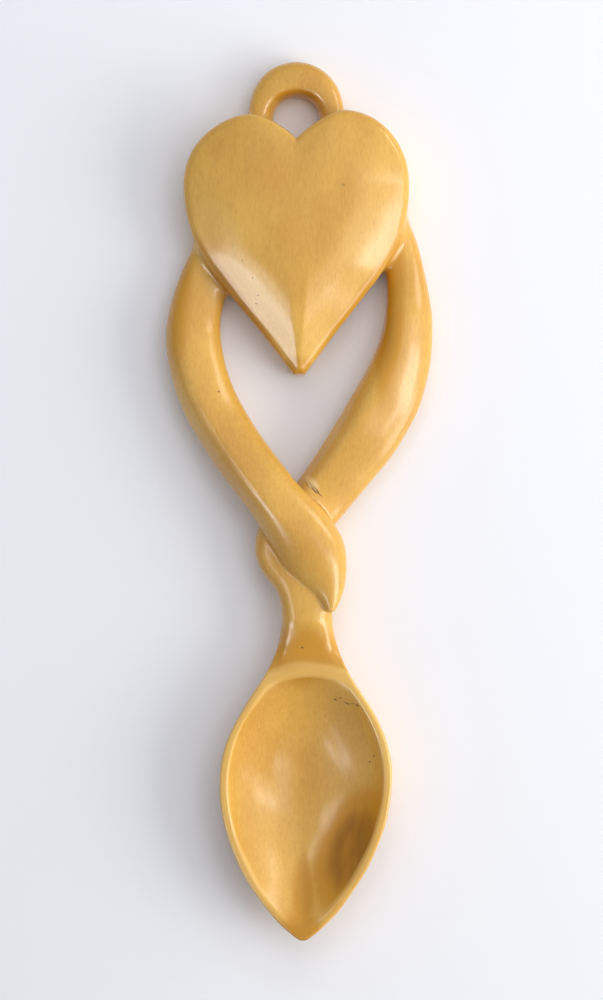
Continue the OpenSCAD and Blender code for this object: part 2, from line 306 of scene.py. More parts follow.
def strand_tree():
    """Sweeps a rounded section along a path. The path's points carry the section's sizes."""
    tree = bpy.data.node_groups.new("Strand", "GeometryNodeTree")
    face = tree.interface
    face.new_socket("Path", in_out="INPUT", socket_type="NodeSocketGeometry")
    for name, count in (("Rings", RINGS), ("Points Round", POINTS_ROUND)):
        face.new_socket(name, in_out="INPUT", socket_type="NodeSocketInt").default_value = count
    face.new_socket("Wood", in_out="INPUT", socket_type="NodeSocketMaterial")
    face.new_socket("Strand", in_out="OUTPUT", socket_type="NodeSocketGeometry")
    given = add(tree, "NodeGroupInput").outputs

    def math(operation, *values):
        return add(tree, "ShaderNodeMath", dict(enumerate(values)), operation=operation).outputs[0]

    # A grid stands for the skin: X counts the rings down the strand, Y the points round a ring
    sheet = add(tree, "GeometryNodeMeshGrid", {"Size X": 1.0, "Size Y": 1.0,
                                               "Vertices X": given["Rings"],
                                               "Vertices Y": given["Points Round"]})
    place = add(tree, "ShaderNodeSeparateXYZ", {0: add(tree, "GeometryNodeInputPosition").outputs[0]})
    down = math("ADD", place.outputs[0], 0.5)
    turn = math("MULTIPLY", math("ADD", place.outputs[1], 0.5), 2 * np.pi)

    # The first and the last ring shrink to a point in the plane of the next, which closes the ends
    last = math("SUBTRACT", given["Rings"], 1.0)
    ring = math("MULTIPLY", down, last)
    inside = math("MULTIPLY", math("GREATER_THAN", ring, 0.5),
                  math("LESS_THAN", ring, math("SUBTRACT", last, 0.5)))
    share = math("DIVIDE", math("SUBTRACT", ring, 1.0), math("SUBTRACT", last, 2.0))
    share = add(tree, "ShaderNodeClamp", {0: share}).outputs[0]

    line = add(tree, "GeometryNodeMeshToCurve", {0: given["Path"]}).outputs[0]

    def along(name):
        value = add(tree, "GeometryNodeInputNamedAttribute", {"Name": name}, data_type="FLOAT")
        return add(tree, "GeometryNodeSampleCurve",
                   {"Curves": line, "Value": value.outputs[0], "Factor": share}, mode="FACTOR")

    width, thickness, back, lean, bevel, fullness = (
        along(n).outputs[0] for n in ("width", "thickness", "back", "lean", "bevel", "fullness"))
    spot = along("width")
    run = add(tree, "ShaderNodeSeparateXYZ", {0: spot.outputs["Tangent"]})
    across = add(tree, "ShaderNodeCombineXYZ", {0: math("MULTIPLY", run.outputs[1], -1.0),
                                                1: run.outputs[0]})
    across = add(tree, "ShaderNodeVectorMath", {0: across.outputs[0]}, operation="NORMALIZE")

    # The section: an ellipse made fuller, with its crest leant to one side
    cosine, sine = math("COSINE", turn), math("SINE", turn)
    upper_left = math("MULTIPLY", math("LESS_THAN", cosine, 0.0), math("GREATER_THAN", sine, 0.0))
    power = math("MULTIPLY_ADD", upper_left, math("SUBTRACT", bevel, fullness), fullness)

    def fuller(value):
        return math("MULTIPLY", math("SIGN", value), math("POWER", math("ABSOLUTE", value), power))

    side, rise = fuller(cosine), fuller(sine)
    leant = math("MULTIPLY", lean, math("MULTIPLY", math("SUBTRACT", 1.0, math("MULTIPLY", side, side)),
                                        add(tree, "ShaderNodeClamp", {0: rise}).outputs[0]))
    half = math("MULTIPLY", math("MULTIPLY", width, 0.5), inside)
    offset = add(tree, "ShaderNodeVectorMath", {0: across.outputs[0],
                                                "Scale": math("MULTIPLY", half, math("ADD", side, leant))},
                 operation="SCALE")
    tall = math("MULTIPLY", math("MULTIPLY", thickness, 0.5),
                math("ADD", math("MULTIPLY", rise, inside), 1.0))
    lift = add(tree, "ShaderNodeCombineXYZ", {2: math("ADD", back, tall)})
    point = add(tree, "ShaderNodeVectorMath", {0: spot.outputs["Position"], 1: offset.outputs[0]},
                operation="ADD")
    point = add(tree, "ShaderNodeVectorMath", {0: point.outputs[0], 1: lift.outputs[0]}, operation="ADD")
    skin = add(tree, "GeometryNodeSetPosition", {0: sheet.outputs[0], "Position": point.outputs[0]})
    skin = add(tree, "GeometryNodeMergeByDistance", {0: skin.outputs[0], "Distance": 1e-4})
    skin = add(tree, "GeometryNodeRealizeInstances", {0: skin.outputs[0]})
    skin = add(tree, "GeometryNodeSetMaterial", {0: skin.outputs[0], "Material": given["Wood"]})
    add(tree, "NodeGroupOutput", {0: skin.outputs[0]})
    return tree


def swept(tree, line, sizes, wood):
    """The strand over a line, as points and triangles."""
    path = bpy.data.meshes.new("path")
    path.from_pydata([(x, y, 0.0) for x, y in line], [(i, i + 1) for i in range(len(line) - 1)], [])
    for name, values in sizes.items():
        path.attributes.new(name, "FLOAT", "POINT").data.foreach_set("value", np.asarray(values, np.float32))
    holder = bpy.data.objects.new("strand", path)
    bpy.context.scene.collection.objects.link(holder)
    sweep = holder.modifiers.new("Strand", "NODES")
    sweep.node_group = tree
    keys = {s.name: s.identifier for s in tree.interface.items_tree if s.in_out == "INPUT"}
    sweep[keys["Wood"]] = wood
    bpy.context.view_layer.update()
    made = bpy.data.meshes.new_from_object(holder.evaluated_get(bpy.context.evaluated_depsgraph_get()))
    result = mesh_arrays(made)
    bpy.data.objects.remove(holder)
    bpy.data.meshes.remove(made)
    return result


def mesh_arrays(mesh):
    points = np.empty(len(mesh.vertices) * 3, np.float32)
    mesh.vertices.foreach_get("co", points)
    mesh.calc_loop_triangles()
    triangles = np.empty(len(mesh.loop_triangles) * 3, np.int32)
    mesh.loop_triangles.foreach_get("vertices", triangles)
    return points.reshape(-1, 3), triangles.reshape(-1, 3).astype(np.uint32)


# Heart and bowl: rings of points that a skin joins

def ring_skin(rings, mirrored_end=False):
    """Triangles over rings of equally many points. A fan from its first point closes each end.
    Where the last ring is a thin one round a spine, its end is closed from each point to the mirrored one."""
    count, n = len(rings), len(rings[0])
    j, i = np.meshgrid(np.arange(count - 1), np.arange(n), indexing="ij")
    a = (j * n + i).ravel()
    b = (j * n + (i + 1) % n).ravel()
    sides = np.concatenate([np.stack([a, b + n, b], 1), np.stack([a, a + n, b + n], 1)])
    k = np.arange(1, n - 1)
    fan = np.stack([0 * k, k, k + 1], 1)
    k = np.arange(n // 2)
    across = (n - k) % n
    ladder = np.concatenate([np.stack([k, k + 1, across], 1), np.stack([k + 1, n - k - 1, across], 1)])
    end = ladder if mirrored_end else fan
    points = np.concatenate(rings).astype(np.float32)
    return points, np.concatenate([sides, fan, end[:, ::-1] + (count - 1) * n]).astype(np.uint32)


HEART_POINTS = 480
HEART_RINGS = 60
BACK_RINGS = 7
# The rings of the front lie closer towards the edge, and the last is this share of the way in
RING_CROWDING = 1.5
INMOST = 0.98
heart_side = chain(
    [((0.0, cleft_y), unit(5, 7)),
     ((lobe_span / 2, cleft_y + cleft_depth), np.array([1.0, 0.0])),
     ((heart_w / 2, widest_y), DOWN),
     ((heart_tip_w / 2, heart_tip_y), unit(-5, -7))],
    [(0.2, 0.25), (0.3, 0.46), (0.34, 0.56)])

# Round the outline, at the cleft, the top of a lobe, the widest place and the tip: how far in the dome
# goes on rising, the share of its height that it rises there, and how softly it bends into the flat top
FALL_W = [cleft_round, lobe_round, flank_w, flank_w]
FALL_SHARE = [0.1, 0.35, 0.8, 1.0]
BEND = [0.9, 0.9, 0.75, 0.6]
# The spine's width as a share of the heart's, and how far short of the tip it ends
SPINE_W = 0.1
SPINE_END = 1.5


def dome_rise(u, bend):
    """Rises evenly to 1, with the bend before the flat top spread over this share on both sides."""
    eased = u - (u - 1 + bend)**2 / (4 * bend)
    return np.where(u < 1 - bend, u, np.where(u > 1 + bend, 1.0, eased))


def heart_form():
    """Bevelled flanks run down to the tip from a narrow spine, and the lobes are rounded more gently."""
    t = np.linspace(0, len(heart_side), HEART_POINTS // 2)
    half = chain_at(heart_side, t)
    outline = np.concatenate([half * (-1, 1), [[0.0, heart_tip_y]], half[:0:-1]])
    t = np.concatenate([t, t[-1:], t[:0:-1]])
    down = (outline[:, 1] - heart_tip_y) / (widest_y - heart_tip_y)
    spine = np.stack([outline[:, 0] * SPINE_W,
                      np.minimum(widest_y, lerp(heart_tip_y + SPINE_END, widest_y, down))], 1)
    reach = np.linalg.norm(outline - spine, axis=1)
    fall, share, bend = through(FALL_W, t), through(FALL_SHARE, t), through(BEND, t)

    def ring(s, z):
        p = lerp(spine, outline, s)
        x = p[:, 0] - heart_shift * clamp01((p[:, 1] - heart_tip_y) / heart_drop)
        y = p[:, 1] + lobe_lead * p[:, 0] / lobe_span * clamp01((p[:, 1] - widest_y) / lobe_h)
        return np.stack([x, y, np.broadcast_to(z, len(p))], 1)

    back_share = 1 - 2 * back_round / heart_w
    quarter = np.linspace(0, np.pi / 2, BACK_RINGS)
    rings = [ring(lerp(back_share, 1, np.sin(q)), back_round * (1 - np.cos(q))) for q in quarter]
    for s in 1 - np.linspace(0, 1, HEART_RINGS)**RING_CROWDING * INMOST:
        inward = (1 - s) * reach
        roll = 1 - (1 - clamp01(inward / (2 * front_round)))**2
        dome = heart_dome * lerp(1, dome_rise(inward / fall, bend), share)
        rings.append(ring(s, heart_edge + front_round * roll + dome))
    return ring_skin(rings, mirrored_end=True)


BOWL_POINTS = 168
BOWL_RINGS = 360
# The share of a ring's upper points that lies on each side's rim
RIM_SHARE = 1 / 7
# How late the hollow's floor rises, towards the tip and towards the neck
FALL = 2.2
UPPER_FALL = 2.8
# The powers that shape the hollow's section, at the belly and at the tip, where it is a softer V, and how
# much sooner the second one gets there
HOLLOW_SHAPE = (0.75, 0.95)
HOLLOW_FLOOR = (2.0, 1.3)
VEE_HASTE = 1.6
# The most that s * s * (1 - s) comes to
DIP_PEAK = 4 / 27
bowl_edge = chain(
    [((neck_w / 2, waist_y), DOWN),
     ((bowl_w / 2, belly_y), DOWN),
     ((tip_w / 2, tip_y), unit(-8, -5))],
    [(0.37, 0.43), (0.4, 0.22)])


def bowl_form():
    """From the waist, where it is a strand like the stems, to the hollow bowl and its tip."""
    a = np.arange(BOWL_POINTS) / BOWL_POINTS * 2 * np.pi
    power = np.where((np.cos(a) < 0) & (np.sin(a) > 0), WAIST_BEVEL, FULLNESS)
    side = np.sign(np.cos(a)) * np.abs(np.cos(a))**power
    height = np.sign(np.sin(a)) * np.abs(np.sin(a))**power
    top = a <= np.pi + 1e-9
    q = np.where(top, a / np.pi, 0)
    across = np.cos(np.pi * clamp01((q - RIM_SHARE) / (1 - 2 * RIM_SHARE)))
    rings = []
    for half, y in chain_at(bowl_edge, np.linspace(0, len(bowl_edge), BOWL_RINGS)):
        if y > belly_y:
            low = lerp(neck_lift, -bowl_flat, smooth((waist_y - y) / (waist_y - belly_y)))
        else:
            low = lerp(-bowl_flat, rim_z - tip_t, ((belly_y - y) / (belly_y - tip_y))**FALL)
        vee = clamp01((belly_y - y) / (belly_y - tip_y))
        shape = lerp(*HOLLOW_SHAPE, vee)
        floor = lerp(*HOLLOW_FLOOR, smooth(VEE_HASTE * vee))
        inner = max(half / 2, half - rim_w)
        arched = y + arch_drop * (4 * across * inner / bowl_w)**2
        if y > belly_y:
            rise = clamp01((arched - belly_y) / belly_drop)**UPPER_FALL
        else:
            rise = clamp01((belly_y - y) / (belly_y - hollow_tip_y))**FALL
        depth = (rim_z - bowl_wall) * (1 - rise)
        x = np.where(q < RIM_SHARE, lerp(half, inner, q / RIM_SHARE),
                     np.where(q > 1 - RIM_SHARE, -lerp(half, inner, (1 - q) / RIM_SHARE), inner * across))
        hollow = rim_z - depth * np.maximum(0, 1 - np.abs(across)**floor)**shape
        under = rim_z - (rim_z - low) * np.abs(np.sin(a))**FULLNESS
        bowl = np.stack([np.where(top, x, half * np.cos(a)), np.where(top, hollow, under)], 1)
        v = smooth((waist_y - y) / neck_l)
        tall = lerp(neck_t, rim_z - low, v)
        leant = WAIST_LEAN * (1 - side**2) * clamp01(height)
        neck = np.stack([half * (side + leant), low + tall / 2 * (1 + height)], 1)
        p = lerp(neck, bowl, v)
        sink = clamp01((waist_y - y - arch_drop * (4 * p[:, 0] / bowl_w)**2) / (neck_l - rim_w))
        dip = neck_dip * sink**2 * (1 - sink) / DIP_PEAK
        p[:, 1] *= 1 - dip / rim_z
        centre = neck_shift - bowl_lean * smooth((hollow_y - y) / bowl_l)
        rings.append(np.stack([centre + p[:, 0], np.full(BOWL_POINTS, y), np.maximum(0, p[:, 1])], 1))
    return ring_skin(rings)


# The field: signed distances on a grid, joined with fillets

# A cell's size in millimetres, and in cells how far distances are known and how much air is round the box
CELL = 0.3
BAND = 5
MARGIN = 8
# The fillet where the left stem, the heart and the loop meet the rest
LEFT_FILLET = 0.5
HEART_FILLET = 2.0
LOOP_FILLET = 0.6


class Field:
    """A grid of cells over the spoon's box. Distances are in millimetres, negative in the wood."""

    def __init__(self, low, high):
        self.low = np.asarray(low) / MM - MARGIN * CELL
        self.shape = tuple(np.ceil((np.asarray(high) / MM - self.low) / CELL).astype(int) + MARGIN)

    def distance(self, points, triangles):
        grid = openvdb.FloatGrid.createLevelSetFromPolygons(
            ((points - self.low) / CELL).astype(np.float32), triangles=np.ascontiguousarray(triangles),
            transform=openvdb.createLinearTransform(voxelSize=1.0), halfWidth=BAND)
        values = np.empty(self.shape, np.float32)
        grid.copyToArray(values, ijk=(0, 0, 0))
        return values * CELL

    def sample(self, values, points):
        """Values at points between the grid's corners."""
        g = (points - self.low) / CELL
        i = np.clip(np.floor(g).astype(int), 0, np.array(self.shape) - 2)
        f = g - i
        total = 0
        for corner in np.ndindex(2, 2, 2):
            weight = np.prod(np.where(corner, f, 1 - f), axis=1)
            total = total + weight * values[tuple((i + corner).T)]
        return total


def joined(a, b, fillet):
    """Union of two forms, with the crease between them filled to about this size."""
    h = np.maximum(fillet - np.abs(a - b), 0) / fillet
    return np.minimum(a, b) - h * h * fillet / 4


def softened(values):
    """A short blur along each axis, which takes off the sharpness that sanding takes off."""
    for axis in range(3):
        before, after = np.roll(values, 1, axis), np.roll(values, -1, axis)
        values = values * 0.5 + (before + after) * 0.25
    return values


def averaged(values, radius):
    """Mean over a cube of cells, by running sums."""
    for axis in range(3):
        total = np.cumsum(values, axis=axis, dtype=np.float64)
        total = np.roll(total, -radius, axis) - np.roll(total, radius + 1, axis)
        values = (total / (2 * radius + 1)).astype(np.float32)
    return values


def skins(field, wood, owner, names):
    """One closed skin for each owner. Where two owners meet, both skins pass through the same points."""
    corners = list(np.ndindex(2, 2, 2))
    nx, ny, nz = field.shape

    def shifted(values, c):
        return values[c[0]:nx - 1 + c[0], c[1]:ny - 1 + c[1], c[2]:nz - 1 + c[2]]

    first = shifted(owner, (0, 0, 0))
    mixed = np.zeros(first.shape, bool)
    for c in corners[1:]:
        mixed |= shifted(owner, c) != first
    cells = np.argwhere(mixed)
    number = np.full(mixed.shape, -1, np.int32)
    number[tuple(cells.T)] = np.arange(len(cells))

    open_sum, open_count = np.zeros((len(cells), 3)), np.zeros(len(cells))
    shut_sum, shut_count = np.zeros((len(cells), 3)), np.zeros(len(cells))
    for a in corners:
        for axis in range(3):
            if a[axis]:
                continue
            b = tuple(v + (k == axis) for k, v in enumerate(a))
            ia, ib = tuple((cells + a).T), tuple((cells + b).T)
            oa, ob, da, db = owner[ia], owner[ib], wood[ia], wood[ib]
            differ = oa != ob
            air = differ & ((oa == 0) | (ob == 0))
            t = np.where(air, np.clip(da / np.where(da == db, 1, da - db), 0, 1), 0.5)
            spot = np.array(a, float) + 0 * cells
            spot[:, axis] = t
            open_sum[air] += spot[air]
            open_count[air] += 1
            shut = differ & ~air
            shut_sum[shut] += spot[shut]
            shut_count[shut] += 1
    outer = open_count > 0
    inner = ~outer
    points = cells.astype(float)
    points[outer] += open_sum[outer] / open_count[outer, None]
    points[inner] += shut_sum[inner] / shut_count[inner, None]
    points = field.low + points * CELL

    faces = {name: [] for name in names}
    for axis in range(3):
        u, v = (axis + 1) % 3, (axis + 2) % 3
        low_end = [slice(1, -1)] * 3
        high_end = [slice(1, -1)] * 3
        low_end[axis], high_end[axis] = slice(0, -1), slice(1, None)
        oa, ob = owner[tuple(low_end)], owner[tuple(high_end)]
        edges = np.argwhere(oa != ob)
        start = edges + [int(k != axis) for k in range(3)]
        back_u, back_v = np.eye(3, dtype=int)[u], np.eye(3, dtype=int)[v]
        quad = np.stack([number[tuple((start - back_u - back_v).T)], number[tuple((start - back_v).T)],
                         number[tuple(start.T)], number[tuple((start - back_u).T)]], 1)
        below, above = oa[tuple(edges.T)], ob[tuple(edges.T)]
        for k, name in enumerate(names, 1):
            faces[name] += [quad[below == k], quad[above == k][:, ::-1]]
    return points, outer, {name: np.concatenate(parts) for name, parts in faces.items()}


def slope(values):
    """Gradient of a field, as three fields."""
    return [(np.roll(values, -1, k) - np.roll(values, 1, k)) / (2 * CELL) for k in range(3)]


WAVES = 12
WAVE_LENGTH = (9, 22)
WAVE_HEIGHT = 0.02


def unevenness(points):
    """How far the knife and the sanding left the surface off its true form, from a few long waves."""
    draw = np.random.default_rng(11)
    total = np.zeros(len(points))
    for _ in range(WAVES):
        way = draw.normal(size=3)
        way /= np.linalg.norm(way)
        total += np.sin(points @ way * 2 * np.pi / draw.uniform(*WAVE_LENGTH) + draw.uniform(0, 2 * np.pi))
    return total * WAVE_HEIGHT


# Materials

def paint(hex_colour):
    """An sRGB hex colour as linear numbers."""
    srgb = np.array([int(hex_colour[k:k + 2], 16) for k in (1, 3, 5)]) / 255
    linear = np.where(srgb <= 0.04045, srgb / 12.92, ((srgb + 0.055) / 1.055)**2.4)
    return (*linear, 1.0)


def new_material(name):
    material = bpy.data.materials.new(name)
    material.use_nodes = True
    tree = material.node_tree
    tree.nodes.clear()
    return material, tree


# Marks on the front, as (x, y, half length, half width, turn in degrees, strength). They are a few knife
# nicks beside the crossing and the pale patch that they scraped, a bruise in the bowl, and pin-sized pores.
NICKS = [
    (2.0, 3.3, 1.6, 0.13, -52, 0.5), (2.9, 3.1, 1.5, 0.12, -49, 0.6), (3.4, 2.1, 1.2, 0.17, -50, 0.9),
    (3.9, 2.4, 1.3, 0.12, -50, 0.7), (4.3, 1.6, 1.0, 0.15, -52, 0.9), (4.9, 1.0, 0.7, 0.12, -46, 0.7)]
SCRAPED = [(3.0, 3.6, 2.6, 1.3, -50, 0.7)]
BRUISE = [
    (8.2, -45.5, 0.5, 0.2, -30, 0.7), (9.35, -45.1, 0.35, 0.18, 20, 0.5), (10.9, -46.3, 0.7, 0.22, -25, 0.7),
    (12.1, -46.4, 0.45, 0.18, 10, 0.5), (13.2, -46.7, 0.4, 0.25, -40, 0.8)]
PORES = [
    (-18.2, 24.5, 0.3, 0.25, 0, 0.8), (0.7, -33.6, 0.35, 0.22, 0, 0.8), (17.0, -58.3, 0.3, 0.25, 0, 0.6),
    (16.05, -59.7, 0.25, 0.25, 0, 0.7), (-9.7, 44.3, 0.3, 0.2, 0, 0.7), (-9.3, 46.2, 0.22, 0.18, 0, 0.7),
    (-10.5, 50.1, 0.25, 0.18, 0, 0.5), (-12.9, 54.0, 0.25, 0.2, 0, 0.5), (10.0, 71.0, 0.5, 0.4, 0, 0.35)]

# Stains where the varnish pooled, in the same form, but much wider and fading out. Most also paint shade on
# the sides turned from the light. Up to a strength of 0.5 they are amber, and beyond it brown.
STAINS_AND_SHADE = [
    (1.6, -35.0, 11, 9, 0, 0.5),  # neck
    (20.8, 41.0, 26, 3.8, 86, 0.6),  # inner side of the right stem
    (-27.5, 45.0, 22, 4, 85, 0.4),  # outer side of the left stem
    (-0.6, 91.5, 6, 2.2, 0, 0.7),  # over the eye
    (-13.5, 45.0, 22, 1.8, -55, 0.7),  # the heart's lower left edge
    (13.0, 45.0, 22, 1.6, 55, 0.4),  # its lower right edge
    (-0.4, 30.0, 5, 3.5, 0, 0.4),  # its tip
    (12.0, -79.5, 18, 9, 68, 0.85),  # the hollow's lower right wall
    (0.9, -90.0, 11, 3.6, 90, 0.5),  # its valley
    (0.5, -98.5, 6, 7, 0, 0.6)]  # the bowl's tip
# Where use has worn the varnish matt: the hollow's upper part, its lower right wall, and the leaf's left side
WORN = [(-3.0, -56.0, 18, 16, 0, 1.0), (12.5, -80.0, 15, 7, 68, 0.9), (1.5, -15.0, 11, 5, -58, 1.0)]
# The varnish's strength where it isn't worn
COAT = 0.7


def varnished_wood():
    """Limewood, sanded and varnished: warm and nearly even, with short fine flecks along the grain,
    a broad soft shine, and amber painted shade in the creases, where the varnish also lies thicker."""
    material, tree = new_material("varnished_limewood")

    def math(operation, *values):
        return add(tree, "ShaderNodeMath", dict(enumerate(values)), operation=operation).outputs[0]

    def vector(operation, *values):
        return add(tree, "ShaderNodeVectorMath", dict(enumerate(values)), operation=operation).outputs[0]

    def noise(place, detail=2.0, roughness=0.5):
        return add(tree, "ShaderNodeTexNoise", {"Vector": place, "Scale": 1.0, "Detail": detail,
                                                "Roughness": roughness}).outputs[0]

    def between(value, low, high, to_low=0.0, to_high=1.0):
        return add(tree, "ShaderNodeMapRange", {"Value": value, "From Min": low, "From Max": high,
                                                "To Min": to_low, "To Max": to_high},
                   interpolation_type="SMOOTHSTEP").outputs[0]

    def mixed(share, a, b):
        return add(tree, "ShaderNodeMix", {0: share, 6: a, 7: b}, data_type="RGBA").outputs[2]

    def sized(place, wide, long):
        """A place in millimetres, as steps of this width across the grain and this length along it."""
        return vector("MULTIPLY", place, (1 / wide, 1 / long, 1 / wide))

    to_mm = (1 / MM, 1 / MM, 1 / MM)
    place = vector("MULTIPLY", add(tree, "ShaderNodeTexCoord").outputs["Object"], to_mm)

    # The grain runs along the spoon and wanders by a few millimetres. Flecks are 0.4 mm wide and 2 mm long.
    # The speckle stands for pores, and is drawn coarser than real ones, which are finer than 0.1 mm.
    wander = add(tree, "ShaderNodeTexNoise", {"Vector": sized(place, 30, 60), "Scale": 1.0}).outputs[1]
    wander = vector("SUBTRACT", wander, (0.5, 0.5, 0.5))
    grained = vector("ADD", place, vector("MULTIPLY", wander, (5.0, 0.0, 5.0)))
    fleck = noise(sized(grained, 0.4, 2.0), 3.0, 0.6)
    streak = noise(sized(grained, 2.6, 45.0))
    cloud = noise(sized(place, 16, 24))
    speckle = noise(sized(grained, 0.3, 0.8), 1.0)

    colour = mixed(between(cloud, 0.3, 0.7), paint("#D59E40"), paint("#E4B24D"))
    colour = mixed(between(streak, 0.35, 0.7, 0.0, 0.14), colour, paint("#C58A35"))
    colour = mixed(between(fleck, 0.45, 0.75, 0.0, 0.3), colour, paint("#BC8130"))
    colour = mixed(between(fleck, 0.5, 0.25, 0.0, 0.25), colour, paint("#EBC062"))
    colour = mixed(between(speckle, 0.66, 0.78, 0.0, 0.3), colour, paint("#A06A28"))

    # Painted shade darkens the creases, where the varnish also lies thicker. The high edges are painted
    # paler, a painted highlight where they catch the light, along with rubbed wear
    crease = add(tree, "ShaderNodeAttribute", attribute_name="crease").outputs["Fac"]
    sharp = add(tree, "ShaderNodeAttribute", attribute_name="sharp").outputs["Fac"]
    colour = mixed(between(crease, 0.56, 0.8, 0.0, 0.85), colour, paint("#A25C16"))
    colour = mixed(between(sharp, 0.4, 0.25, 0.0, 0.3), colour, paint("#E9B75C"))

    # The marks, the stains and their painted shade are on the front alone, from 3 to 4 mm up
    _, y, z = add(tree, "ShaderNodeSeparateXYZ", {0: place}).outputs
    front = between(z, 3.0, 4.0)

    def spotted(places, outside, core):
        """The strongest spot here. Each grows from nothing at its outside to full strength in its core."""
        spots = 0.0
        for spot_x, spot_y, half_l, half_w, turn, strength in places:
            local = add(tree, "ShaderNodeMapping", {"Vector": place, "Location": (spot_x, spot_y, 0.0),
                                                    "Rotation": (0.0, 0.0, np.radians(turn)),
                                                    "Scale": (half_l, half_w, 1.0)}, vector_type="TEXTURE")
            flat = vector("MULTIPLY", local.outputs[0], (1.0, 1.0, 0.0))
            far = add(tree, "ShaderNodeVectorMath", {0: flat}, operation="LENGTH").outputs[1]
            spots = math("MAXIMUM", spots, between(far, outside, core, 0.0, strength))
        return math("MULTIPLY", spots, front)

    # Painted shade on the sides turned from the light, mixed with the varnish stains: amber, then brown
    stain_and_shade = math("MULTIPLY", spotted(STAINS_AND_SHADE, 1.15, 0.3), between(streak, 0.25, 0.65, 0.88, 1.0))
    colour = mixed(between(stain_and_shade, 0.0, 0.5, 0.0, 0.9), colour, paint("#CA8C10"))
    colour = mixed(between(stain_and_shade, 0.5, 1.0, 0.0, 0.9), colour, paint("#8A5600"))

    # The rim's flat top is painted paler, a painted highlight, from below the neck to above the tip
    rim_highlight = math("MULTIPLY", between(z, rim_z - 0.7, rim_z - 0.25), between(y, hollow_y + 5, hollow_y + 3))
    rim_highlight = math("MULTIPLY", rim_highlight, between(y, tip_y + 3, tip_y + 11))
    colour = mixed(math("MULTIPLY", rim_highlight, 0.6), colour, paint("#EDBE66"))
    colour = mixed(spotted(SCRAPED, 1.1, 0.4), colour, paint("#F3D395"))
    marks = spotted(NICKS + BRUISE + PORES, 1.2, 0.5)
    colour = mixed(marks, colour, paint("#5E3A12"))

    # Fine grain breaks up the shine, and marks and worn places are duller
    worn = spotted(WORN, 1.1, 0.4)
    dull = math("MULTIPLY", math("MAXIMUM", marks, worn), 0.2)
    rough = math("ADD", between(fleck, 0.3, 0.7, 0.36, 0.46), dull)
    relief = math("ADD", math("MULTIPLY", fleck, 0.035), math("MULTIPLY", speckle, 0.015))
    relief = math("SUBTRACT", relief, math("MULTIPLY", marks, 0.12))
    bump = add(tree, "ShaderNodeBump", {"Height": relief, "Distance": MM, "Strength": 1.0})
    coat = math("MULTIPLY_ADD", worn, -COAT, COAT)
    shader = add(tree, "ShaderNodeBsdfPrincipled", {
        "Base Color": colour, "Roughness": rough, "Normal": bump.outputs[0], "IOR": 1.5,
        "Specular IOR Level": 0.3, "Coat Weight": coat, "Coat Roughness": 0.17, "Coat IOR": 1.5})
    add(tree, "ShaderNodeOutputMaterial", {"Surface": shader.outputs[0]})
    return material


def pale_table():
    """Matt paper: an even, slightly cool white without a shine."""
    material, tree = new_material("pale_paper")
    shader = add(tree, "ShaderNodeBsdfPrincipled", {
        "Base Color": paint("#F4F5F9"), "Roughness": 0.85, "IOR": 1.5})
    add(tree, "ShaderNodeOutputMaterial", {"Surface": shader.outputs[0]})
    return material


# Pieces

PIECES = ["hanging_loop", "heart", "left_stem", "right_stem", "neck", "bowl"]
# The unevenness starts above the flat back, at this height, and grows to its full size over this much more
FLAT_BACK = 0.5
FADE_IN = 2
# Half widths, in cells, of the cubes whose share of wood is high in creases and low at sharp edges
CREASE_CELLS = 4
SHARP_CELLS = 2


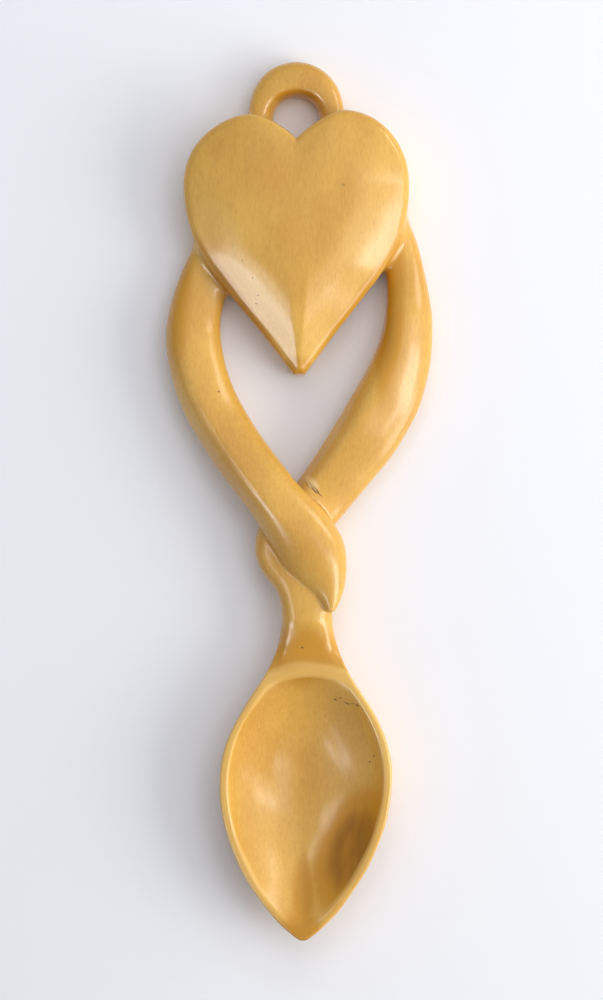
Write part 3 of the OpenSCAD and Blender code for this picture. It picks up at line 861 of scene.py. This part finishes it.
def carved_pieces(wood_material):
    """Joins the forms, cuts each element's skin out of them, and adds it to the scene as a piece."""
    tree = strand_tree()
    field = Field(*CAD_BOX)
    left = field.distance(*swept(tree, *leaf_line(), wood_material))
    line, sizes = stem_line(right_path, right_sizes)
    line = np.concatenate([line, [line[-1] + DOWN * TONGUE]])
    sizes = {name: np.concatenate([values, values[-1:]]) for name, values in sizes.items()}
    right = field.distance(*swept(tree, line, sizes, wood_material))
    loop = field.distance(*swept(tree, *loop_line(), wood_material))
    heart = field.distance(*heart_form())
    bowl = field.distance(*bowl_form())

    lower = np.minimum(right, bowl)
    wood = joined(lower, left, LEFT_FILLET)
    wood = joined(wood, heart, HEART_FILLET)
    wood = joined(wood, loop, LOOP_FILLET)
    wood = softened(wood)

    # Each cell belongs to a piece, numbered from 1 as in PIECES, or to the air, which is 0
    number = {name: k for k, name in enumerate(PIECES, 1)}
    y = field.low[1] + np.arange(field.shape[1]) * CELL
    stretch = np.where(y > neck_end_y, number["neck"], number["bowl"])
    stretch = np.where(y > waist_y, number["right_stem"], stretch).astype(np.uint8)
    nearest = np.argmin(np.stack([loop, heart, left, lower]), axis=0)
    owner = np.where(nearest == 3, stretch[None, :, None], nearest + 1).astype(np.uint8)
    owner[left < 0] = number["left_stem"]
    owner[heart < 0] = number["heart"]
    owner[wood >= 0] = 0

    points, outer, faces = skins(field, wood, owner, PIECES)
    gradient = slope(wood)

    def normals(at):
        n = np.stack([field.sample(g, at) for g in gradient], 1)
        return n / np.maximum(np.linalg.norm(n, axis=1, keepdims=True), 1e-6)

    # The points move onto the surface, then with the unevenness, and their normals turn with it
    for _ in range(2):
        n = normals(points[outer])
        step = np.clip(field.sample(wood, points[outer]), -CELL / 2, CELL / 2)
        points[outer] -= n * step[:, None]
    way = np.zeros_like(points)
    way[outer] = normals(points[outer])
    nudge = CELL / 4
    off_back = smooth((points[outer, 2] - FLAT_BACK) / FADE_IN)
    tilt = np.stack([unevenness(points[outer] + nudge * axis) - unevenness(points[outer] - nudge * axis)
                     for axis in np.eye(3)], 1) / (2 * nudge)
    height = unevenness(points[outer])
    points[outer] += way[outer] * (height * off_back)[:, None]
    way[outer] -= tilt * off_back[:, None]
    way[outer] /= np.linalg.norm(way[outer], axis=1, keepdims=True)
    points[:, 2] = np.maximum(points[:, 2], 0)

    filled = (wood < 0).astype(np.float32)
    shade = {"crease": field.sample(averaged(filled, CREASE_CELLS), points),
             "sharp": field.sample(averaged(filled, SHARP_CELLS), points)}

    for name in PIECES:
        used = np.unique(faces[name])
        renumber = np.full(len(points), -1)
        renumber[used] = np.arange(len(used))
        mesh = bpy.data.meshes.new(f"carved_{name}")
        quads = renumber[faces[name]]
        mesh.vertices.add(len(used))
        mesh.vertices.foreach_set("co", (points[used] * MM).astype(np.float32).ravel())
        mesh.loops.add(quads.size)
        mesh.loops.foreach_set("vertex_index", quads.astype(np.int32).ravel())
        mesh.polygons.add(len(quads))
        mesh.polygons.foreach_set("loop_start", np.arange(0, quads.size, 4, dtype=np.int32))
        mesh.polygons.foreach_set("loop_total", np.full(len(quads), 4, np.int32))
        mesh.update(calc_edges=True)
        mesh.polygons.foreach_set("use_smooth", np.ones(len(quads), bool))
        for label, values in shade.items():
            layer = mesh.attributes.new(label, "FLOAT", "POINT")
            layer.data.foreach_set("value", values[used].astype(np.float32))
        facing = way[used]
        own = np.empty(len(used) * 3, np.float32)
        mesh.vertex_normals.foreach_get("vector", own)
        hidden = ~outer[used]
        facing[hidden] = own.reshape(-1, 3)[hidden]
        mesh.normals_split_custom_set_from_vertices(facing.tolist())
        mesh.materials.append(wood_material)
        piece = bpy.data.objects.new(f"carved_{name}", mesh)
        bpy.context.scene.collection.objects.link(piece)
        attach(piece, "root")
        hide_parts(name)


carved_pieces(varnished_wood())

# Table, lights and camera

table_mesh = bpy.data.meshes.new("table_top")
HALF_TABLE = 3.0
table_corners = [(HALF_TABLE * x, HALF_TABLE * y, 0) for x, y in ((-1, -1), (1, -1), (1, 1), (-1, 1))]
table_mesh.from_pydata(table_corners, [], [(0, 1, 2, 3)])
table_mesh.materials.append(pale_table())
table = bpy.data.objects.new("table_top", table_mesh)
bpy.context.scene.collection.objects.link(table)


def soft_light(name, azimuth, elevation, distance, size, watts, colour, lights="all"):
    """A square panel that faces the spoon's middle from this direction, in degrees. Azimuth 0 is the right.
    It lights all, only the surfaces' own colours, or only their shine."""
    light = bpy.data.lights.new(name, "AREA")
    light.shape = "SQUARE"
    light.size = size
    light.energy = watts
    light.color = paint(colour)[:3]
    panel = bpy.data.objects.new(name, light)
    around, up = np.radians((azimuth, elevation))
    way = Vector((np.cos(up) * np.cos(around), np.cos(up) * np.sin(around), np.sin(up)))
    panel.location = way * distance
    panel.rotation_euler = way.to_track_quat("Z", "Y").to_euler()
    panel.visible_diffuse = lights != "shine"
    panel.visible_glossy = lights != "colour"
    bpy.context.scene.collection.objects.link(panel)


# A wide low window on the right, a pale ceiling towards the top, pale walls on the left whose reflections
# mark the crests, and a small card close over the bowl, which shows as the streak in the hollow
WINDOW, CEILING, WALL = "#FFFDF8", "#F8FAFF", "#F4F7FF"
soft_light("window", 0, 21, 0.8, 0.6, 3.6, WINDOW, "colour")
soft_light("window_low", -25, 24, 0.9, 0.4, 2.4, WINDOW)
soft_light("window_side", -10, 44, 0.9, 0.36, 3.4, WINDOW, "shine")
soft_light("window_high", -10, 60, 0.9, 0.35, 0.6, WINDOW)
soft_light("window_back", 33, 27, 0.9, 0.25, 1.1, WINDOW, "shine")
soft_light("ceiling", 70, 58, 0.55, 0.5, 1.1, CEILING, "colour")
soft_light("wall_left", -146, 44, 0.9, 0.3, 2.6, WALL, "shine")
soft_light("bowl_card", -175, 60, 0.236, 0.06, 0.055, WALL, "shine")
soft_light("wall_front_left", -118, 42, 0.9, 0.25, 0.6, WALL, "shine")
soft_light("wall_front", -60, 40, 0.9, 0.25, 0.5, WALL, "shine")

world = bpy.data.worlds.new("studio")
world.use_nodes = True
background = world.node_tree.nodes["Background"].inputs
background["Color"].default_value = paint("#F2F4FA")
background["Strength"].default_value = 0.42
bpy.context.scene.world = world
bpy.context.scene.view_settings.view_transform = "Standard"

# The camera looks straight down. At the stems' middle height a pixel of the picture is this many
# millimetres, and the frame's origin shows at this pixel.
PIXEL = 0.228
IMAGE_W, IMAGE_H = 603, 1000
ORIGIN_X, ORIGIN_Y = 299, 499.5
CAMERA_HEIGHT = 900.0
MIDDLE_Z = 5.5
camera = bpy.data.cameras.new("camera")
camera.sensor_width = 36
camera.clip_end = 20
camera.lens = camera.sensor_width * (CAMERA_HEIGHT - MIDDLE_Z) / (IMAGE_H * PIXEL)
eye = bpy.data.objects.new("camera", camera)
eye.location = ((IMAGE_W / 2 - ORIGIN_X) * PIXEL * MM, (ORIGIN_Y - IMAGE_H / 2) * PIXEL * MM,
                CAMERA_HEIGHT * MM)
bpy.context.scene.collection.objects.link(eye)
bpy.context.scene.camera = eye
